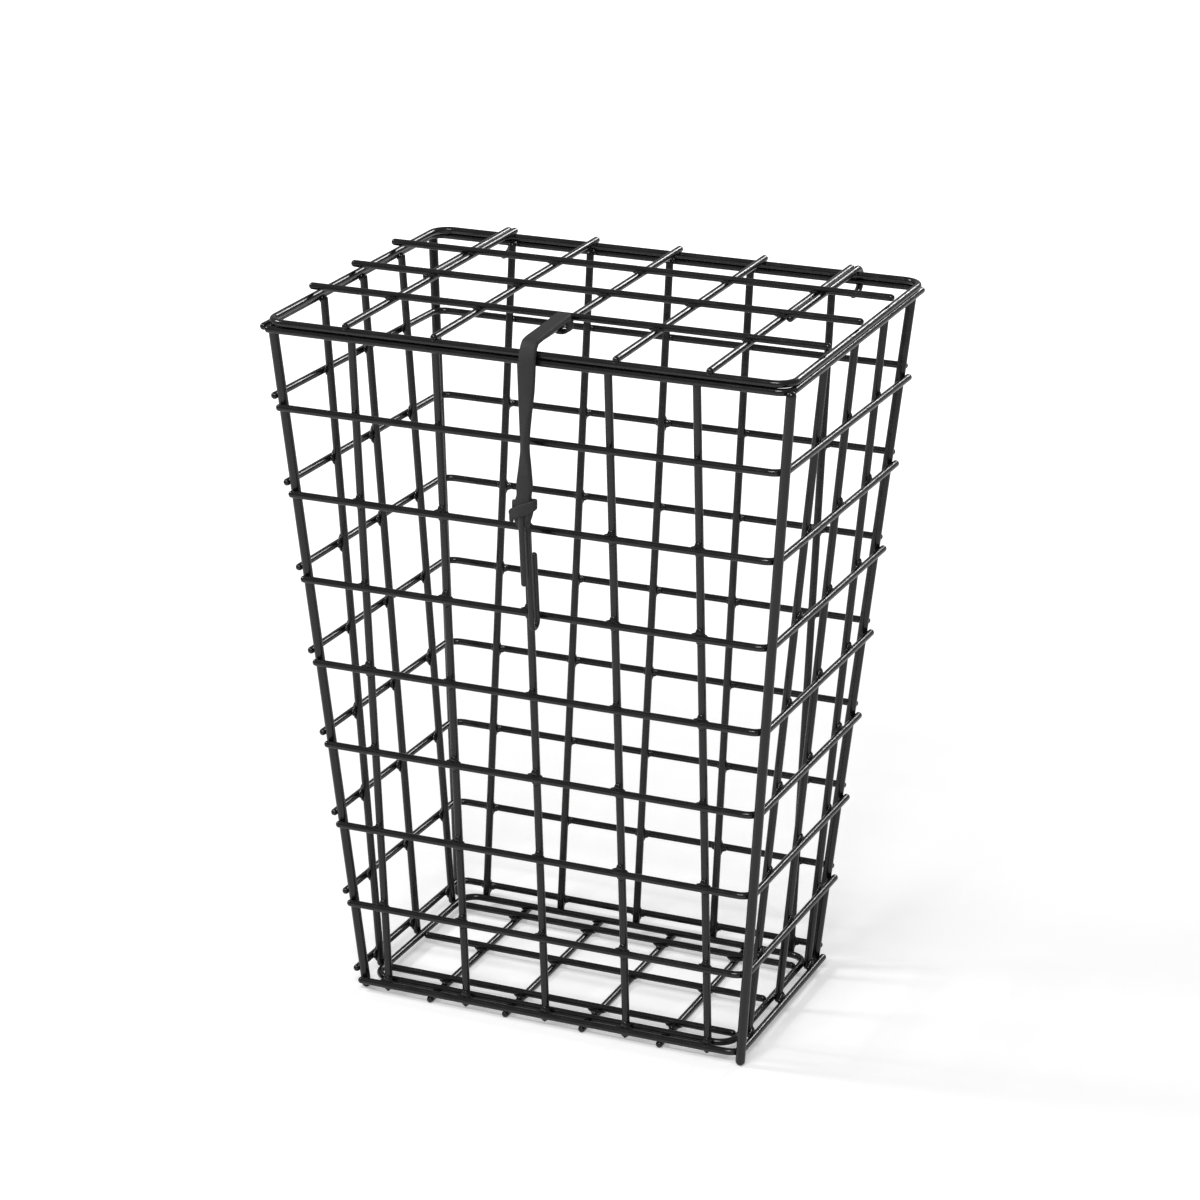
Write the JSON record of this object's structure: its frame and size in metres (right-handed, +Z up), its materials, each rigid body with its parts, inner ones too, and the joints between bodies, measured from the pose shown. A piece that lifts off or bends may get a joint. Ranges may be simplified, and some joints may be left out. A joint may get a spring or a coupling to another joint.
{
  "type": "tapered wire cage with hinged lid",
  "caption": "Tall tapered basket of coated welded wire with a hinged wire lid, closed by a rubber strap and an S-hook; holds bait or catch in water.",
  "frame": {"origin": "on the floor, under the middle of the base, where the cage rests", "axes": "+Z up, -Y towards the front panel with the strap and hook, +X to the right seen from the front"},
  "size_m": [0.2395, 0.1861, 0.3211],
  "materials": {
    "coated_wire": "steel wire dipped in glossy black PVC",
    "rubber": "matte black rubber",
    "hook_wire": "satin black coated steel wire"
  },
  "bodies": {
    "cage": {"front_right_band_1": "coated_wire", "front_right_band_2": "coated_wire", "front_right_band_3": "coated_wire", "front_right_band_4": "coated_wire", "front_right_band_5": "coated_wire", "front_right_band_6": "coated_wire", "front_right_band_7": "coated_wire", "front_right_band_8": "coated_wire", "front_right_rim_wire": "coated_wire", "back_left_band_1": "coated_wire", "back_left_band_2": "coated_wire", "back_left_band_3": "coated_wire", "back_left_band_4": "coated_wire", "back_left_band_5": "coated_wire", "back_left_band_6": "coated_wire", "back_left_band_7": "coated_wire", "back_left_band_8": "coated_wire", "back_left_rim_wire": "coated_wire", "front_left_post": "coated_wire", "front_right_post": "coated_wire", "back_left_post": "coated_wire", "back_right_post": "coated_wire", "front_upright_1": "coated_wire", "front_upright_2": "coated_wire", "front_upright_3": "coated_wire", "front_upright_4": "coated_wire", "front_upright_5": "coated_wire", "back_upright_1": "coated_wire", "back_upright_2": "coated_wire", "back_upright_3": "coated_wire", "back_upright_4": "coated_wire", "back_upright_5": "coated_wire", "left_upright_1": "coated_wire", "left_upright_2": "coated_wire", "left_upright_3": "coated_wire", "right_upright_1": "coated_wire", "right_upright_2": "coated_wire", "right_upright_3": "coated_wire", "base_frame": "coated_wire", "base_side_wire_1": "coated_wire", "base_side_wire_2": "coated_wire", "base_side_wire_3": "coated_wire", "base_runner_1": "coated_wire", "base_runner_2": "coated_wire", "base_runner_3": "coated_wire", "base_runner_4": "coated_wire"},
    "lid": {"lid_frame": "coated_wire", "lid_side_wire_1": "coated_wire", "lid_side_wire_2": "coated_wire", "lid_side_wire_3": "coated_wire", "lid_runner_1": "coated_wire", "lid_runner_2": "coated_wire", "lid_runner_3": "coated_wire", "lid_runner_4": "coated_wire", "lid_runner_5": "coated_wire", "hinge_hook_left": "coated_wire", "hinge_hook_right": "coated_wire", "strap_run": "rubber"},
    "strap": {"strap_tail": "rubber"},
    "hook": {"s_hook": "hook_wire"}
  },
  "joints": [
    {"name": "lid_hinge", "type": "hinge", "parent": "cage", "child": "lid", "pos_m": [0, 0.08166, 0.31333], "axis": [-1, 0, 0], "range_deg": [0, 160]},
    {"name": "strap_lift", "type": "hinge", "parent": "lid", "child": "strap", "pos_m": [0.006, -0.09105, 0.31226], "axis": [-1, 0, 0], "range_deg": [0, 90]},
    {"name": "hook_swing", "type": "hinge", "parent": "strap", "child": "hook", "pos_m": [0.006, -0.09355, 0.24576], "axis": [-1, 0, 0], "range_deg": [0, 90]}
  ]
}
